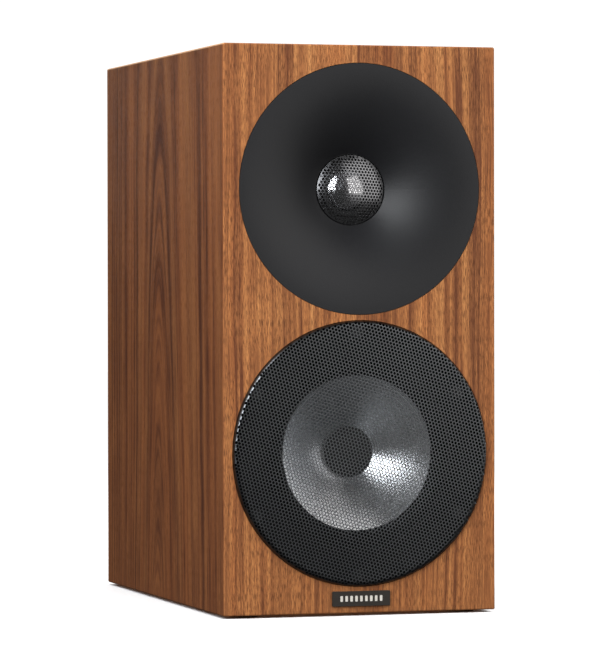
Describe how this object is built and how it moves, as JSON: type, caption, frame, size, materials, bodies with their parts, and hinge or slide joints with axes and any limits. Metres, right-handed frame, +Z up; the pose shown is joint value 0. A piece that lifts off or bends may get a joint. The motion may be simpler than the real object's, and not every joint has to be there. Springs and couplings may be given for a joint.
{
  "type": "bookshelf loudspeaker",
  "caption": "Two-way standmount loudspeaker: veneered box, shallow black waveguide over a domed tweeter, metal-cone bass driver behind a round pan grille, rear port and binding posts.",
  "frame": {"origin": "centre of the bounding box's bottom, on the surface that the feet stand on", "axes": "+X to the right as seen from the front, +Y to the back, +Z up"},
  "size_m": [0.16, 0.2682, 0.32],
  "materials": {
    "walnut": "satin",
    "fibreboard": "raw",
    "waveguide_black": "satin",
    "moulded_black": "satin",
    "painted_steel": "satin black",
    "cast_frame": "textured black",
    "spun_aluminium": "spun",
    "dome_metal": "bright",
    "cap_plastic": "matt",
    "surround_rubber": "matt",
    "gasket_foam": "matt",
    "spider_cloth": "resin coated",
    "tweeter_fabric": "coated",
    "coil_wire": "enamelled copper",
    "motor_steel": "zinc plated",
    "ferrite": "matt",
    "black_screws": "black oxide",
    "gilt_brass": "gold plated",
    "tinned_brass": "tinned",
    "red_plastic": "gloss",
    "black_plastic": "gloss",
    "circuit_board": "satin",
    "film_wrap": "gloss",
    "white_ceramic": "matt",
    "red_cable": "satin",
    "black_cable": "satin",
    "felt": "felt",
    "badge_metal": "anodised black"
  },
  "bodies": {
    "cabinet": {"front_baffle": "fibreboard", "rear_panel": "fibreboard", "left_side_panel": "fibreboard", "right_side_panel": "fibreboard", "top_panel": "fibreboard", "bottom_panel": "fibreboard", "window_brace": "fibreboard", "front_veneer": "walnut", "rear_veneer": "walnut", "left_veneer": "walnut", "right_veneer": "walnut", "top_veneer": "walnut", "bottom_veneer": "walnut", "badge_plate": "badge_metal", "solder_tabs": "tinned_brass", "foot_pads": "gasket_foam", "waveguide": "waveguide_black", "driver_gaskets": "gasket_foam", "waveguide_screws": "black_screws", "tweeter_grille": "painted_steel", "tweeter_surround": "tweeter_fabric", "tweeter_flange": "moulded_black", "tweeter_top_plate": "motor_steel", "tweeter_magnet": "ferrite", "tweeter_yoke": "motor_steel", "tweeter_rear_cup": "moulded_black", "tweeter_screws": "black_screws", "woofer_grille": "painted_steel", "woofer_basket": "cast_frame", "woofer_screws": "black_screws", "woofer_surround": "surround_rubber", "woofer_spider": "spider_cloth", "woofer_top_plate": "motor_steel", "woofer_magnet": "ferrite", "woofer_yoke": "motor_steel", "woofer_terminal_strip": "circuit_board", "port_tube": "moulded_black", "terminal_plate": "moulded_black", "terminal_screws": "black_screws", "red_post_stud": "gilt_brass", "black_post_stud": "gilt_brass", "post_insulators": "moulded_black", "post_lock_nuts": "motor_steel", "crossover_board": "circuit_board", "crossover_inductors": "coil_wire", "crossover_capacitors": "film_wrap", "crossover_resistors": "white_ceramic", "red_wires": "red_cable", "black_wires": "black_cable", "damping_pads": "felt"},
    "woofer_moving": {"woofer_cone": "spun_aluminium", "woofer_dust_cap": "cap_plastic", "woofer_coil_former": "spun_aluminium", "woofer_voice_coil": "coil_wire"},
    "tweeter_moving": {"tweeter_dome": "dome_metal", "tweeter_voice_coil": "coil_wire"},
    "red_washer": {"red_clamp_washer": "gilt_brass"},
    "black_washer": {"black_clamp_washer": "gilt_brass"},
    "red_nut": {"red_thumb_nut": "red_plastic"},
    "black_nut": {"black_thumb_nut": "black_plastic"}
  },
  "joints": [
    {"name": "woofer_travel", "type": "slide", "parent": "cabinet", "child": "woofer_moving", "axis": [0, -1, 0], "range_m": [-0.005, 0.005], "stiffness_N_per_m": 830, "deforming": ["woofer_surround", "woofer_spider"]},
    {"name": "tweeter_travel", "type": "slide", "parent": "cabinet", "child": "tweeter_moving", "axis": [0, -1, 0], "range_m": [-0.0005, 0.0005], "stiffness_N_per_m": 400, "deforming": ["tweeter_surround"]},
    {"name": "red_washer_slide", "type": "slide", "parent": "cabinet", "child": "red_washer", "axis": [0, 1, 0], "range_m": [0, 0.005]},
    {"name": "red_nut_turn", "type": "hinge", "parent": "red_washer", "child": "red_nut", "pos_m": [0.0095, 0.1136, 0.078], "axis": [0, 1, 0], "range_deg": [0, 1801]},
    {"name": "black_washer_slide", "type": "slide", "parent": "cabinet", "child": "black_washer", "axis": [0, 1, 0], "range_m": [0, 0.005]},
    {"name": "black_nut_turn", "type": "hinge", "parent": "black_washer", "child": "black_nut", "pos_m": [-0.0095, 0.1136, 0.078], "axis": [0, 1, 0], "range_deg": [0, 1801]}
  ],
  "couplings": [
    {"joint": "red_nut_turn", "follows": "red_washer_slide", "rad_per_m": 6283.2},
    {"joint": "black_nut_turn", "follows": "black_washer_slide", "rad_per_m": 6283.2}
  ]
}
